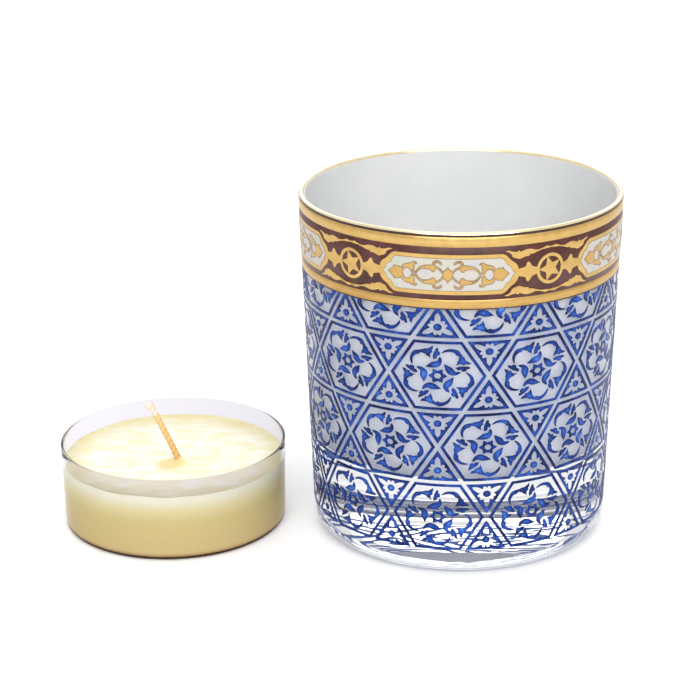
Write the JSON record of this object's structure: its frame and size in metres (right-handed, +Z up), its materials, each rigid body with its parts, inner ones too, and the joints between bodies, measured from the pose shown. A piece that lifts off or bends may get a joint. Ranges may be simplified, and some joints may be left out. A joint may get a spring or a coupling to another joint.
{
  "type": "votive candle glass",
  "caption": "Tapered votive glass with a thick clear base, white lining, gilded ornamental rim and blue lattice print, with its clear-cup refill candle.",
  "frame": {"origin": "centre of the glass's foot, on the table", "axes": "+Z up along the glass's axis, -Y towards the front with a long panel nearly centred on it, the candle standing on the table towards -X"},
  "size_m": [0.1461, 0.0823, 0.0904],
  "materials": {
    "clear_glass": "polished",
    "white_enamel": "smooth satin",
    "gold": "bright fired gold",
    "brown_enamel": "gloss",
    "silver_enamel": "satin pearl",
    "blue_enamel": "gloss",
    "clear_cup": "clear gloss",
    "wax": "satin wax",
    "wick_cotton": "waxed cotton",
    "tinplate": "stamped"
  },
  "bodies": {
    "holder": {"glass_body": "clear_glass", "white_lining": "white_enamel", "gold_lip": "gold", "upper_gold_band": "gold", "brown_enamel_band": "brown_enamel", "lower_gold_band": "gold", "cartouche_frames": "gold", "cartouche_panels": "silver_enamel", "cartouche_scrolls": "gold", "roundel_rings": "gold", "roundel_stars": "gold", "gold_leaves": "gold", "blue_hexagon_borders": "blue_enamel", "blue_rosettes": "blue_enamel", "blue_trefoil_triangles": "blue_enamel"},
    "candle": {"candle_cup": "clear_cup", "wax": "wax", "wick": "wick_cotton", "wick_sustainer": "tinplate"}
  },
  "joints": [
    {"name": "candle_lift", "type": "slide", "parent": "holder", "child": "candle", "axis": [0, 0, 1], "range_m": [0, 0.1]}
  ]
}
